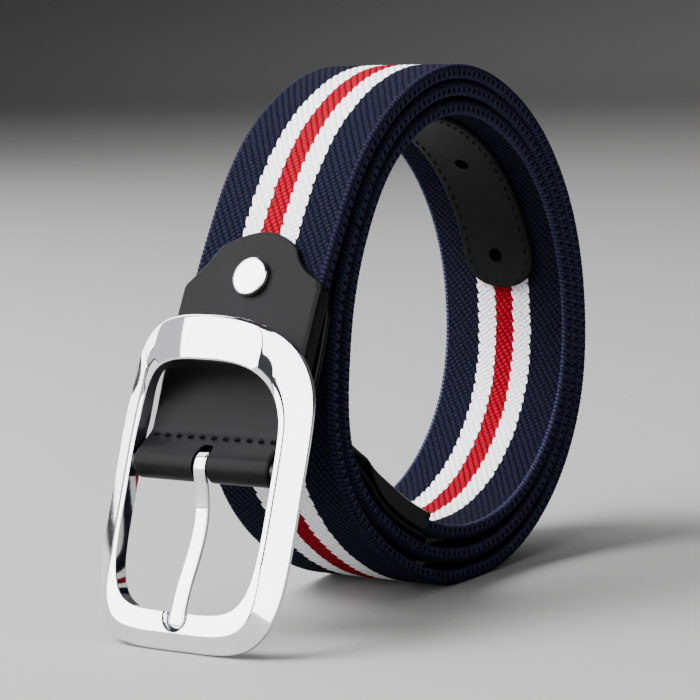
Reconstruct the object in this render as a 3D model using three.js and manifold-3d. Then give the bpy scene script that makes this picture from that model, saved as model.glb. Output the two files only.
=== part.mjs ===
// A striped canvas web belt, rolled up three turns and standing on its rim, with its pin buckle on the floor.
// Millimetres. X runs across the web, -Y is the side where the buckle stands, Z is up.
// A profile point [y, z] is a place in the plane through the middle of the web.
import * as THREE from 'three';
import { mergeVertices } from 'three/addons/utils/BufferGeometryUtils.js';
import Module from 'manifold-3d';

const wasm = await Module();
wasm.setup();

// Web
const webWidth = 35;
const webThick = 3.3;
const webEdge = 0.7;            // rounding of the web's edges
const coilY = 17.53;            // centre of the coil
const coilZ = 60.1;
const restPress = 0.1;          // how deep the floor presses the outer turn flat
const coilStart = 150;          // degrees, where the outer turn leaves the coil towards the buckle
const tipStart = -124;          // degrees of the last turn where the web runs straight into the tip
const turnSteps = 48;           // facets in one turn

// Outer radius of the coil and the step from each turn to the next, by angle from +Y towards +Z
const coilRows = [
  { angle: -180, outer: 57.8, firstStep: 4.4, nextStep: 4.4 },
  { angle: -150, outer: 62.8, firstStep: 3.9, nextStep: 4.0 },
  { angle: -120, outer: 63.6, firstStep: 4.5, nextStep: 5.4 },
  { angle: -90, outer: 63.55, firstStep: 4.5, nextStep: 5.3 },
  { angle: -60, outer: 62.7, firstStep: 4.2, nextStep: 4.6 },
  { angle: -30, outer: 60.4, firstStep: 3.8, nextStep: 3.8 },
  { angle: 0, outer: 57.2, firstStep: 3.5, nextStep: 3.5 },
  { angle: 30, outer: 57.2, firstStep: 3.6, nextStep: 3.7 },
  { angle: 60, outer: 58.9, firstStep: 3.8, nextStep: 4.0 },
  { angle: 90, outer: 60.7, firstStep: 3.8, nextStep: 4.3 },
  { angle: 120, outer: 58.7, firstStep: 4.0, nextStep: 3.8 },
  { angle: 150, outer: 56.5, firstStep: 5.0, nextStep: 3.5 },
];

// Leather
const leatherWidth = 36;
const leatherThick = 1.5;
const layGap = 0.25;            // air between two pieces that touch

// Margins of the tab and the tip: they turn back round the web's edges and are pared thin
const turnedHalf = 18.5;        // from the web's middle to the outside of a turned margin
const turnedRadius = 1.2;
const turnedThick = 0.65;
const paredWidth = 3;           // width over which the leather gets thin
const turnedParts = [1, 0.864, 0.821, 0.778, 0.715];   // corners of a section, as parts of its half width

// Their noses: a round cap, then a slope on each side that ends at the turned edge
const capHalf = 9.5;
const capLength = 4;
const capPower = 1.2;           // 1 is a parabola, 2 an ellipse
const tabSlope = {
  left: { length: 18, power: 1.35 },
  right: { length: 13.2, power: 2.7 },
};
const tipSlope = {
  left: { length: 10.8, power: 2.2 },
  right: { length: 13.2, power: 2.7 },
};
const noseFine = 14;            // length with short steps
const noseStep = 0.6;

// Buckle tab: it leaves the coil leaning by tabLean and straightens to tabLeanEnd at the stitched line
const tabLean = 31;             // degrees from upright
const tabLeanEnd = 22;
const tabLength = 50;           // along the web, from the coil to the stitched line
const webInTab = 46;
const frontNoseAt = 3.3;        // where the front layer's nose ends, along the tab
const frontHalf = 22.1;         // half width of the front layer, measured round its turned margins
const marginFrom = 35;          // along the tab, where its margins begin to narrow
const marginTo = 41;
const unturnFrom = 41;          // along the tab, where its margins begin to lie flat again
const unturnTo = 47;
const backNoseAt = 5;
const backNoseLength = 15.5;
const backNosePower = 1.3;
const backSlack = 1.4;          // how far the back layer bows away from the web between rivet and stitches
const rivetAt = 14.6;
const rivetHead = 4.4;          // radius
const rivetRise = 1.4;
const rivetBevel = 0.3;
const rivetShank = 1.3;
const rivetBack = 3.0;          // radius of the cap set into the back leather
const rivetCap = 0.6;

// Buckle frame, in its own plane: s runs up the frame from its foot, n stands out to the front
const frameFootY = -71.47;
const frameLean = 20;           // degrees from upright
const frameHalfWidth = 25.1;
const frameLength = 71.3;
const frameMiddle = 36;         // s of the widest place
const windowHalfWidth = 19;
const windowFoot = 8;
const windowTop = 61.3;
const frameRidge = 4.0;         // thickness at the ridge
const frameEdge = 0.9;          // thickness at the outer edge
const archPlate = 2.5;          // thickness of the arch
const archRise = 8.5;
const archFrom = 48;            // s where the rails start to rise into the arch
const archTo = 64;
const frameRays = 64;
const windowPower = { up: 3.8, down: 4.8 };   // how square the corners are, above and below the middle
const outerPower = { up: 3.2, upSide: 1.2, down: 4.5 };
const notchFrom = 3.6;          // s of the notch that the prong rests in, and its floor's height
const notchTo = 11.6;
const notchN = 3.4;
const notchDeep = 4.6;
const notchSide = 0.6;          // air at each side of the prong

// Bar and prong
const barS = 39.9;
const barN = 1.0;
const barRadius = 1.8;
const eyeBore = 2.1;
const eyeRadius = 3.4;
const prongWidth = 3.6;
const prongThick = 1.9;
const prongTipRound = 1.9;      // length over which the prong's tip narrows
const slotWidth = 5.4;
const slotSize = 9.6;           // the slot's cutter, along the web and through it
const slotForward = -0.9;       // its centre from the bar's axis
const slotDown = -0.6;
const loopFrom = 116;           // degrees round the bar, from where the leather meets it to where it leaves
const loopTo = 314;

// Middle of the prong's strip, from the eye to the tip
const prongRows = [
  { s: 40.4, n: 3.3 },
  { s: 37.6, n: 2.7 },
  { s: 34.4, n: 1.2 },
  { s: 31.0, n: 0.1 },
  { s: 27.5, n: -0.3 },
  { s: 23.5, n: -0.1 },
  { s: 19.0, n: 0.7 },
  { s: 14.5, n: 1.7 },
  { s: 10.0, n: 2.3 },
  { s: 7.0, n: 2.4 },
  { s: 4.6, n: 2.4 },
];

// Tip leathers and hole strip
const tipLeather = 1.2;
const tipFrontBack = 23;        // how far the front nose reaches back along the web from the tip's root
const tipBackBack = 23.5;
const tipWallGap = 1.9;         // from the coil's wall to the tip's middle
const tipWallFrom = 207;        // degrees, where the tip comes to lie along the wall
const tipWallTo = 198;
const tipHandle = 6;            // how fast the tip's bends run out
const tipNose = 17;             // length of the rounded outer end
const tipPower = 2.2;
const tipCloseFrom = 6;         // past the web's end, where the two leathers begin to close up
const tipClose = 18;
const tipMarginGap = 0.6;       // from a turned margin to the other leather
const stripWidth = 19.4;
const stripThick = 1.2;
const stripShift = 0.5;         // the strip is sewn on a little beside the web's middle
const stripNose = 7.5;          // length of its rounded ends
const stripNosePower = 2.2;
const stripFrom = 4.4;          // degrees, where the strip's nose lies on the innermost turn
const holeCount = 5;
const holePitch = 28;
const holeEnd = 8.5;            // from the strip's end to its first hole
const holeRadius = 1.8;

const rad = Math.PI / 180;

// A row's value at any angle, through the coil's table, as a smooth closed curve
function coilValue(angle, column) {
  const rows = coilRows.length;
  const step = 360 / rows;
  const at = ((angle + 180) % 360 + 360) % 360 / step;
  const i = Math.floor(at);
  const t = at - i;
  const [a, b, c, d] = [-1, 0, 1, 2].map((k) => coilRows[(i + k + rows) % rows][column]);
  const m1 = (c - a) / 2;
  const m2 = (d - b) / 2;
  const t2 = t * t;
  const t3 = t2 * t;
  return b * (2 * t3 - 3 * t2 + 1) + m1 * (t3 - 2 * t2 + t) + c * (3 * t2 - 2 * t3) + m2 * (t3 - t2);
}

// Middle of the web at an unwrapped angle, which falls as the web winds inwards, flat where it rests
function coilPoint(angle) {
  const turns = (coilStart - angle) / 360;
  const steps = coilValue(angle, 'firstStep') * Math.min(turns, 1)
    + coilValue(angle, 'nextStep') * Math.max(turns - 1, 0);
  const radius = coilValue(angle, 'outer') - steps - webThick / 2;
  const y = coilY + radius * Math.cos(angle * rad);
  const z = coilZ + radius * Math.sin(angle * rad);
  return [y, Math.max(z, webThick / 2 - restPress)];
}

// Middle of the web along the tab, from the coil's leaving point down to the stitched line
function tabPoint(along) {
  const [y, z] = coilPoint(coilStart);
  const bend = (tabLean - tabLeanEnd) * rad / tabLength;
  const lean = tabLean * rad - bend * along;
  return [
    y - (Math.cos(lean) - Math.cos(tabLean * rad)) / bend,
    z - (Math.sin(tabLean * rad) - Math.sin(lean)) / bend,
  ];
}

// Path tools: a path is a list of profile points, its front side lies to the right of its direction
function unitAlong(path, i) {
  const a = path[Math.max(i - 1, 0)];
  const b = path[Math.min(i + 1, path.length - 1)];
  const length = Math.hypot(b[0] - a[0], b[1] - a[1]);
  return [(b[0] - a[0]) / length, (b[1] - a[1]) / length];
}

// Direction of the tab at a length along it
function tabUnit(along) {
  return unitAlong([tabPoint(along - 0.5), tabPoint(along), tabPoint(along + 0.5)], 1);
}

function offset(path, distanceAt) {
  return path.map((p, i) => {
    const [dy, dz] = unitAlong(path, i);
    const distance = distanceAt(i);
    return [p[0] + dz * distance, p[1] - dy * distance];
  });
}

function lengths(path) {
  const sum = [0];
  for (let i = 1; i < path.length; i += 1) {
    sum.push(sum[i - 1] + Math.hypot(path[i][0] - path[i - 1][0], path[i][1] - path[i - 1][1]));
  }
  return sum;
}

// Even steps along a path, so that a strip has even faces
function evenly(path, step) {
  const sum = lengths(path);
  const total = sum[sum.length - 1];
  const count = Math.max(1, Math.round(total / step));
  const out = [];
  let k = 0;
  for (let i = 0; i <= count; i += 1) {
    const at = total * i / count;
    while (k < sum.length - 2 && sum[k + 1] < at) k += 1;
    const t = (at - sum[k]) / (sum[k + 1] - sum[k]);
    out.push([0, 1].map((axis) => path[k][axis] + (path[k + 1][axis] - path[k][axis]) * t));
  }
  return out;
}

function range(from, to, count, value) {
  return Array.from({ length: count + 1 }, (_, i) => value(from + (to - from) * i / count));
}

// A closed skin from rings of points: each ring joins the next, and flat fans close both ends
function skin(rings) {
  const count = rings[0].length;
  const points = rings.flat().flat();
  const index = [];
  for (let i = 0; i + 1 < rings.length; i += 1) {
    for (let j = 0; j < count; j += 1) {
      const a = i * count + j;
      const b = i * count + (j + 1) % count;
      index.push(a, b, a + count, b, b + count, a + count);
    }
  }
  const last = (rings.length - 1) * count;
  for (let j = 1; j + 1 < count; j += 1) {
    index.push(0, j + 1, j, last, last + j, last + j + 1);
  }
  return solidGeometry(points, index);
}

// A closed skin from rings that also meet each other at the ends, as a frame does
function hoop(rings) {
  const count = rings[0].length;
  const points = rings.flat().flat();
  const index = [];
  for (let i = 0; i < rings.length; i += 1) {
    const next = (i + 1) % rings.length;
    for (let j = 0; j < count; j += 1) {
      const k = (j + 1) % count;
      index.push(i * count + j, i * count + k, next * count + j);
      index.push(i * count + k, next * count + k, next * count + j);
    }
  }
  return solidGeometry(points, index);
}

function signedVolume(points, index) {
  let volume = 0;
  for (let i = 0; i < index.length; i += 3) {
    const [a, b, c] = [0, 1, 2].map((k) => new THREE.Vector3().fromArray(points, 3 * index[i + k]));
    volume += a.dot(b.cross(c)) / 6;
  }
  return volume;
}

// The same skin with its faces turned outwards
function solidGeometry(points, index) {
  const faces = signedVolume(points, index) < 0 ? index.slice().reverse() : index;
  const geometry = new THREE.BufferGeometry();
  geometry.setAttribute('position', new THREE.Float32BufferAttribute(points, 3));
  geometry.setIndex(faces);
  return geometry;
}

// Section of a strip: a flat band with chamfered edges, [across, through] from one edge round to the other
function bandSection(halfWidth, halfThick, chamfer) {
  const inner = Math.max(halfWidth - chamfer, 0.3);
  const low = Math.max(halfThick - chamfer, halfThick * 0.35);
  return [
    [halfWidth, -low], [halfWidth, low], [inner, halfThick], [-inner, halfThick],
    [-halfWidth, low], [-halfWidth, -low], [-inner, -halfThick], [inner, -halfThick],
  ];
}

// Half a section of a leather whose margins turn back round the edges: half is its width from the middle,
// measured over the outer face, and turned is 1 where the margin stands square to it and 0 where it lies flat
function turnedSide(half, thick, turned) {
  const flat = turnedHalf - turnedRadius;
  const bend = turned * Math.PI / 2;
  const places = turnedParts.map((part) => {
    const q = half * part;
    const angle = Math.min(Math.max((q - flat) / turnedRadius, 0), bend);
    const straight = Math.max(q - flat - turnedRadius * angle, 0);
    const pared = Math.min(Math.max((q - flat + paredWidth) / paredWidth, 0), 1) * turned;
    const wall = thick + (turnedThick - thick) * pared;
    const x = Math.min(q, flat) + turnedRadius * Math.sin(angle) + straight * Math.cos(angle);
    const n = thick / 2 - turnedRadius * (1 - Math.cos(angle)) - straight * Math.sin(angle);
    return { outer: [x, n], inner: [x - wall * Math.sin(angle), n - wall * Math.cos(angle)] };
  });
  return { outer: places.map((place) => place.outer), inner: places.map((place) => place.inner) };
}

// The whole section, from the half widths { left, right }
function turnedSection(half, thick, turned) {
  const right = turnedSide(half.right, thick, turned);
  const left = turnedSide(half.left, thick, turned);
  const mirror = ([x, n]) => [-x, n];
  return [
    ...right.outer, ...left.outer.map(mirror).reverse(),
    ...left.inner.map(mirror), ...right.inner.reverse(),
  ];
}

// A strip along a profile path, its section given by the length along it
function strip(path, sectionAt) {
  const sum = lengths(path);
  const total = sum[sum.length - 1];
  return skin(path.map((p, i) => {
    const [dy, dz] = unitAlong(path, i);
    return sectionAt(sum[i], total).map(([x, n]) => [x, p[0] + dz * n, p[1] - dy * n]);
  }));
}

// Half width of a strip at a distance from its nose's end: a rounded arch
function noseWidth(distance, half, length, power) {
  const t = Math.min(Math.max(distance / length, 0), 1);
  return half * Math.sqrt(Math.max(1 - (1 - t) ** power, 0.004));
}

// Half widths of a nose with turned margins, never more than the other end allows
function turnedNose(distance, half, most, slope) {
  const cap = capHalf * Math.sqrt(1 - (1 - Math.min(distance / capLength, 1)) ** capPower);
  const side = ({ length, power }) => {
    const rise = Math.min(distance / length, 1) ** power;
    return Math.min(Math.max(cap + (half - capHalf) * rise, 1), most);
  };
  return { left: side(slope.left), right: side(slope.right) };
}

// Short steps along a turned nose, then longer ones
function withNose(path, step) {
  const fine = evenly(path, noseStep);
  const count = Math.round(noseFine / noseStep);
  return [...fine.slice(0, count), ...evenly(fine.slice(count), step)];
}

// Solid work: geometry to a solid and back
function toSolid(geometry) {
  const plain = geometry.clone();
  plain.deleteAttribute('normal');
  plain.deleteAttribute('uv');
  const merged = mergeVertices(plain, 1e-4);
  return new wasm.Manifold(new wasm.Mesh({
    numProp: 3,
    vertProperties: Float32Array.from(merged.attributes.position.array),
    triVerts: Uint32Array.from(merged.index.array),
  }));
}

function fromSolid(solid) {
  const { vertProperties, triVerts } = solid.getMesh();
  const geometry = new THREE.BufferGeometry();
  geometry.setAttribute('position', new THREE.BufferAttribute(vertProperties, 3));
  geometry.setIndex(new THREE.BufferAttribute(triVerts, 1));
  return geometry;
}

// A round bar between two places, with its facets' corners on the radius
function roundBar(from, to, radius, sides) {
  const a = new THREE.Vector3(...from);
  const b = new THREE.Vector3(...to);
  const geometry = new THREE.CylinderGeometry(radius, radius, a.distanceTo(b), sides);
  const turn = new THREE.Quaternion().setFromUnitVectors(
    new THREE.Vector3(0, 1, 0),
    b.clone().sub(a).normalize(),
  );
  geometry.applyQuaternion(turn);
  geometry.translate(...a.add(b).multiplyScalar(0.5).toArray());
  return geometry;
}

// The web's path: from its end in the tab, up over the coil and in to the tip
function webPath() {
  const tab = range(webInTab, 0, 10, tabPoint);
  const turns = [];
  for (let angle = coilStart - 360 / turnSteps; angle >= tipStart - 720; angle -= 360 / turnSteps) {
    turns.push(coilPoint(angle));
  }
  return [...tab, ...turns];
}

const web = webPath();

// Place on the innermost turn at an angle, offset towards the coil's middle
function innerTurn(angle, inwards) {
  const step = 0.5;
  const three = [angle + step, angle, angle - step].map((a) => coilPoint(a - 720));
  return offset(three, () => inwards)[1];
}

function stripPath() {
  const inwards = webThick / 2 + layGap + stripThick / 2;
  const path = range(stripFrom, 200, 130, (angle) => innerTurn(angle, inwards));
  const wanted = (holeCount - 1) * holePitch + 2 * holeEnd;
  return evenly(evenly(path, 0.5).filter((_, i) => i * 0.5 <= wanted), 2.4);
}

// Radial drills through the strip and the innermost turn, one for each hole
function holeDrills() {
  const path = evenly(stripPath(), 0.25);
  const sum = lengths(path);
  return Array.from({ length: holeCount }, (_, k) => {
    const at = holeEnd + k * holePitch;
    const i = sum.findIndex((s) => s >= at);
    const [dy, dz] = unitAlong(path, i);
    const [y, z] = path[i];
    const out = stripThick / 2 + layGap + webThick + 0.05;
    const into = 3;
    return roundBar(
      [0, y + dz * out, z - dy * out],
      [0, y - dz * into, z + dy * into],
      holeRadius,
      12,
    );
  });
}

function cut(geometry, tools) {
  return fromSolid(tools.reduce((solid, tool) => solid.subtract(toSolid(tool)), toSolid(geometry)));
}

// A drill across the tab where the rivet's shank goes
function rivetDrill(radius, front, back) {
  const [y, z] = tabPoint(rivetAt);
  const [dy, dz] = tabUnit(rivetAt);
  return roundBar([0, y + dz * front, z - dy * front], [0, y + dz * back, z - dy * back], radius, 16);
}

const layer = webThick / 2 + layGap + leatherThick / 2;   // from the web's middle to a leather's middle

function frameUnit() {
  const up = [Math.sin(frameLean * rad), Math.cos(frameLean * rad)];
  const out = [-Math.cos(frameLean * rad), Math.sin(frameLean * rad)];
  return { up, out };
}

// Place of a point of the frame's plane, with x across the belt
function framePlace(x, s, n) {
  const { up, out } = frameUnit();
  return [x, frameFootY + up[0] * s + out[0] * n, up[1] * s + out[1] * n];
}

const barPlace = framePlace(0, barS, barN).slice(1);

// The tab leather's middle line: down the front, round the bar and up the back
function tabLeatherPath() {
  const middle = range(0, tabLength, 50, tabPoint);
  const front = offset(middle, () => layer).filter((_, i) => i >= frontNoseAt);
  const bow = (i) => backSlack * Math.sin(Math.PI * Math.max(i - rivetAt, 0) / (tabLength - rivetAt)) ** 2;
  const back = offset(middle, (i) => -layer - bow(i)).filter((_, i) => i >= backNoseAt && i <= webInTab);
  const loop = eyeBore + leatherThick / 2 + 0.1;
  const round = range(loopFrom, loopTo, 14, (a) => [
    barPlace[0] + loop * Math.cos(a * rad),
    barPlace[1] + loop * Math.sin(a * rad),
  ]);
  return withNose([...front, ...round, ...back.reverse()], 2);
}

// Section of the tab's leather: turned margins in front, flat round the bar and behind
function tabSection(at, total) {
  const along = at + frontNoseAt;
  const narrow = leatherWidth / 2;
  const margin = 1 - smooth((along - marginFrom) / (marginTo - marginFrom));
  const half = narrow + (frontHalf - narrow) * margin;
  const turned = 1 - smooth((along - unturnFrom) / (unturnTo - unturnFrom));
  const most = noseWidth(total - at + 0.2, half, backNoseLength, backNosePower);
  return turnedSection(turnedNose(at, half, most, tabSlope), leatherThick, turned);
}

function buckleTab() {
  const body = strip(tabLeatherPath(), tabSection);
  const slot = new THREE.BoxGeometry(slotWidth, slotSize, slotSize);
  slot.translate(0, barPlace[0] + slotForward, barPlace[1] + slotDown);
  return cut(body, [
    slot,
    rivetDrill(rivetShank + layGap, layer + 3, -layer - 3),
    rivetDrill(rivetBack + layGap, -layer - 3, rivetCap + layGap - layer - leatherThick / 2),
  ]);
}

function tabRivet() {
  const face = layer + leatherThick / 2 + layGap;
  const back = layer + leatherThick / 2;
  const rows = [
    { r: rivetBack, n: -back }, { r: rivetBack, n: rivetCap - back }, { r: rivetShank, n: rivetCap - back },
    { r: rivetShank, n: face }, { r: rivetHead, n: face }, { r: rivetHead, n: face + rivetRise - rivetBevel },
    { r: rivetHead - rivetBevel, n: face + rivetRise },
  ];
  const profile = [
    new THREE.Vector2(0, rows[0].n),
    ...rows.map(({ r, n }) => new THREE.Vector2(r, n)),
    new THREE.Vector2(0, face + rivetRise),
  ];
  const geometry = new THREE.LatheGeometry(profile, 24);
  const [y, z] = tabPoint(rivetAt);
  const [dy, dz] = tabUnit(rivetAt);
  const turn = new THREE.Quaternion().setFromUnitVectors(
    new THREE.Vector3(0, 1, 0),
    new THREE.Vector3(0, dz, -dy),
  );
  geometry.applyQuaternion(turn);
  geometry.translate(0, y, z);
  return fromSolid(toSolid(geometry));
}

// Reach of a rounded outline along a ray: a superellipse quarter with its own half width, height and power
function reach(cos, sin, half, height, power) {
  return (Math.abs(cos / half) ** power + Math.abs(sin / height) ** power) ** (-1 / power);
}

function smooth(t) {
  const k = Math.min(Math.max(t, 0), 1);
  return k * k * (3 - 2 * k);
}

function archLift(x, s) {
  const over = Math.max(1 - (x / (frameHalfWidth - 0.6)) ** 2, 0);
  return archRise * over * smooth((s - archFrom) / (archTo - archFrom));
}

// One cross section of the frame where a ray from its middle crosses it
function frameSection(ray) {
  const cos = Math.cos(ray);
  const sin = Math.sin(ray);
  const up = sin > 0;
  const outerUp = outerPower.up + outerPower.upSide * cos * cos;
  const inner = up
    ? reach(cos, sin, windowHalfWidth, windowTop - frameMiddle, windowPower.up)
    : reach(cos, sin, windowHalfWidth, frameMiddle - windowFoot, windowPower.down);
  const outer = up
    ? reach(cos, sin, frameHalfWidth, frameLength - frameMiddle, outerUp)
    : reach(cos, sin, frameHalfWidth, frameMiddle, outerPower.down);
  const arch = smooth((frameMiddle + sin * inner - archFrom) / (archTo - archFrom));
  const ridge = frameRidge + (archPlate - frameRidge) * arch;
  const edge = frameEdge + (archPlate - 0.7 - frameEdge) * arch;
  const rows = [
    { across: 0, n: 0 },
    { across: 0, n: ridge - 0.4 },
    { across: 0.06, n: ridge },
    { across: 0.3 + 0.5 * arch, n: ridge },
    { across: 0.95, n: edge + 0.5 * arch + 0.2 },
    { across: 1, n: edge },
    { across: 1, n: 0 },
  ];
  return rows.map(({ across, n }) => {
    const r = inner + (outer - inner) * across;
    const x = r * cos;
    const s = frameMiddle + r * sin;
    return framePlace(x, s, n + archLift(x, s));
  });
}

function buckleFrame() {
  const ray = 2 * Math.PI / frameRays;
  const rings = Array.from({ length: frameRays }, (_, i) => frameSection(ray * (i + 0.5)));
  const [left, right] = [-1, 1].map((side) => framePlace(side * (windowHalfWidth + 2), barS, barN));
  const bar = roundBar(left, right, barRadius, 16);
  const notch = strip(
    range(notchFrom, notchTo, 1, (s) => framePlace(0, s, notchN).slice(1)),
    () => bandSection(prongWidth / 2 + notchSide, notchDeep / 2, 0.9),
  );
  return fromSolid(toSolid(hoop(rings)).add(toSolid(bar)).subtract(toSolid(notch)));
}

function prong() {
  const curve = new THREE.CatmullRomCurve3(prongRows.map(({ s, n }) => new THREE.Vector3(0, s, n)));
  const path = curve.getSpacedPoints(26).map((p) => framePlace(0, p.y, p.z).slice(1));
  const total = lengths(path)[path.length - 1];
  const stem = strip(path, (at) => {
    const tip = Math.min((total - at) / prongTipRound, 1);
    const widen = prongWidth / 2 * (0.8 + 0.25 * at / total);
    return bandSection(widen * Math.sqrt(Math.max(1 - (1 - tip) ** 2, 0.12)), prongThick / 2, 0.5);
  });
  const [y, z] = barPlace;
  const half = prongWidth / 2;
  const eye = toSolid(roundBar([-half, y, z], [half, y, z], eyeRadius, 24));
  const bore = toSolid(roundBar([-half - 1, y, z], [half + 1, y, z], eyeBore, 24));
  return fromSolid(toSolid(stem).add(eye).subtract(bore));
}

// Path of the tip's middle: back along the web, then across the coil and a little way up its wall
function tipPath(back) {
  const path = web.slice(-30);
  const sum = lengths(path);
  const along = path.filter((_, i) => sum[i] >= sum[sum.length - 1] - back);
  const wall = range(tipWallFrom, tipWallTo, 8, (angle) => innerTurn(angle, webThick / 2 + tipWallGap));
  const handle = (points, i, length) => {
    const [dy, dz] = unitAlong(points, i);
    return new THREE.Vector2(points[i][0] + dy * length, points[i][1] + dz * length);
  };
  const curve = new THREE.CubicBezierCurve(
    handle(path, path.length - 1, 0),
    handle(path, path.length - 1, tipHandle),
    handle(wall, 0, -tipHandle),
    handle(wall, 0, 0),
  );
  const across = curve.getPoints(16).slice(1, -1).map((p) => [p.x, p.y]);
  return [...along, ...across, ...wall];
}

// One tip leather: it lies on the web's face, then closes towards the middle past the web's end. The inner
// one has turned margins that reach down to the outer one.
function tipLeatherPiece(side, back) {
  const path = withNose(tipPath(back), 2.6);
  const sum = lengths(path);
  const apart = webThick / 2 + layGap + tipLeather / 2;
  const together = layGap / 2 + tipLeather / 2 + 0.05;
  const fromMiddle = (at) => apart + (together - apart) * smooth((at - back - tipCloseFrom) / tipClose);
  const middle = offset(path, (i) => side * fromMiddle(sum[i]));
  const half = leatherWidth / 2;
  if (side < 0) {
    return strip(middle, (at, total) => bandSection(
      Math.min(
        noseWidth(at + 0.3, half, back * 0.9, tipPower),
        noseWidth(total - at + 0.3, half, tipNose, tipPower),
      ),
      tipLeather / 2,
      0.35,
    ));
  }
  const flat = turnedHalf - turnedRadius;
  return strip(middle, (at, total) => {
    const depth = 2 * fromMiddle(at) - tipMarginGap;
    const round = flat + turnedRadius * Math.PI / 2 + depth - turnedRadius;
    const most = noseWidth(total - at + 0.3, round, tipNose, tipPower);
    return turnedSection(turnedNose(at, round, most, tipSlope), tipLeather, 1);
  });
}

function holeStrip() {
  const body = strip(stripPath(), (at, total) => bandSection(
    noseWidth(Math.min(at, total - at) + 0.15, stripWidth / 2, stripNose, stripNosePower),
    stripThick / 2,
    0.3,
  ));
  body.translate(stripShift, 0, 0);
  return cut(body, holeDrills());
}

function webBody() {
  const body = strip(web, () => bandSection(webWidth / 2, webThick / 2, webEdge));
  const pressed = fromSolid(toSolid(body).trimByPlane([0, 0, 1], 0));
  return cut(pressed, [...holeDrills(), rivetDrill(rivetShank + layGap, 4, -4)]);
}

// Finishes
const navy = { color: 0x262a44, roughness: 0.85, metalness: 0 };
const blackLeather = { color: 0x1b1b1e, roughness: 0.5, metalness: 0 };
const chrome = { color: 0xd8dbe0, roughness: 0.12, metalness: 1 };

function piece(name, geometry, finish) {
  const mesh = new THREE.Mesh(geometry, new THREE.MeshStandardMaterial(finish));
  mesh.name = name;
  return mesh;
}

const belt = new THREE.Group();
belt.add(
  piece('web', webBody(), navy),
  piece('buckle_tab', buckleTab(), blackLeather),
  piece('tab_rivet', tabRivet(), chrome),
  piece('buckle_frame', buckleFrame(), chrome),
  piece('prong', prong(), chrome),
  piece('tip_front', tipLeatherPiece(-1, tipFrontBack), blackLeather),
  piece('tip_back', tipLeatherPiece(1, tipBackBack), blackLeather),
  piece('hole_strip', holeStrip(), blackLeather),
);

export default belt;
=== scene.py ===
"""Looks of the rolled canvas web belt: striped elastic web, leather tab, tip and hole strip, chrome buckle.

Sizes are in millimetres until a mesh is made. A profile point is (y, z) in the plane through the middle of
the web; x runs across the web. Every path keeps its front to the right of its direction.
"""

import bmesh
import bpy
import numpy as np
from mathutils import Matrix, Vector


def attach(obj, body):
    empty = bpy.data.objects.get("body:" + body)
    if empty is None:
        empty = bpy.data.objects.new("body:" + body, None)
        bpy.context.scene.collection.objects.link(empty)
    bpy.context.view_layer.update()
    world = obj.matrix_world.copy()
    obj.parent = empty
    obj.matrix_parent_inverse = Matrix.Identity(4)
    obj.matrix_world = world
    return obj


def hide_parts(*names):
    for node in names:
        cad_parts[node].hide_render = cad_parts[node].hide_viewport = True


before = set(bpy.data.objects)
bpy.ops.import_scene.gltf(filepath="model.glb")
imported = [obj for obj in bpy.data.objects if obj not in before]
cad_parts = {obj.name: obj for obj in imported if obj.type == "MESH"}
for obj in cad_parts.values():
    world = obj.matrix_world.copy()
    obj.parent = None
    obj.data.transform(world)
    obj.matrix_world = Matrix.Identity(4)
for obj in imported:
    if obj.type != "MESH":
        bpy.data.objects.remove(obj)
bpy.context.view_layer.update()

MM = 0.001

# Sizes, nearly all as in the part's source
WEB_HALF = 17.5
WEB_THICK = 3.3
COIL_Y = 17.53
COIL_Z = 60.1
COIL_START = 150.0
TIP_START = -124.0
COIL_STEP = 30.0
# Every 30 degrees from -180: the outermost radius, the step inwards in the first turn and in later ones
COIL_OUTER = np.array([57.8, 62.8, 63.6, 63.55, 62.7, 60.4, 57.2, 57.2, 58.9, 60.7, 58.7, 56.5])
COIL_FIRST = np.array([4.4, 3.9, 4.5, 4.5, 4.2, 3.8, 3.5, 3.6, 3.8, 3.8, 4.0, 5.0])
COIL_NEXT = np.array([4.4, 4.0, 5.4, 5.3, 4.6, 3.8, 3.5, 3.7, 4.0, 4.3, 3.8, 3.5])
LEATHER_HALF = 18.0
LEATHER_THICK = 1.5
LAY_GAP = 0.25
TURNED_HALF = 18.5
TURNED_RADIUS = 1.2
TURNED_THICK = 0.65     # of a turned margin's pared wall
PARED_WIDTH = 3.0
ROLL_SHARE = 0.38       # how much of a wall's thickness its rolled edge is wide
CAP_HALF = 9.5          # the round end of a nose with turned margins
CAP_LENGTH = 4.0
CAP_POWER = 1.2
TAB_SLOPES = ((18.0, 1.35), (13.2, 2.7))      # length and power, left and right
TIP_SLOPES = ((10.8, 2.2), (13.2, 2.7))
TAB_LEAN = 31.0
TAB_LEAN_END = 22.0
TAB_LENGTH = 50.0
WEB_IN_TAB = 46.0
FRONT_NOSE_AT = 3.3
FRONT_HALF = 22.1
MARGIN_FROM = 35.0
MARGIN_TO = 41.0
UNTURN_FROM = 41.0
UNTURN_TO = 47.0
BACK_NOSE_AT = 5.0
BACK_NOSE_LENGTH = 15.5
BACK_NOSE_POWER = 1.3
BACK_SLACK = 1.4        # how far the back layer bows away from the web
STITCHES_AT = 51.7
STITCH_PITCH = 3.15
STITCH_COUNT = 11
STITCH_SINK = 0.05
TAB_LAYER = WEB_THICK / 2 + LAY_GAP + LEATHER_THICK / 2
FOLD_RADIUS = 2.95      # of the leather's middle round the bar
FOLD_ANGLES = (116.0, 314.0)
SLOT_HALF = 2.05
SLOT_TALL = 4.95
SLOT_DEEP = 4.8
SLOT_POWER = 0.45
SLOT_MOVED = np.array([-0.9, -0.35])
RIVET_AT = 14.6
RIVET_HEAD = 4.4        # radii of the head, the cap behind and the shank
RIVET_CAP = 3.0
RIVET_SHANK = 1.3
RIVET_BEVEL = 0.7
RIVET_ROUND = 0.15
FRAME_FOOT_Y = -71.47
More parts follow.
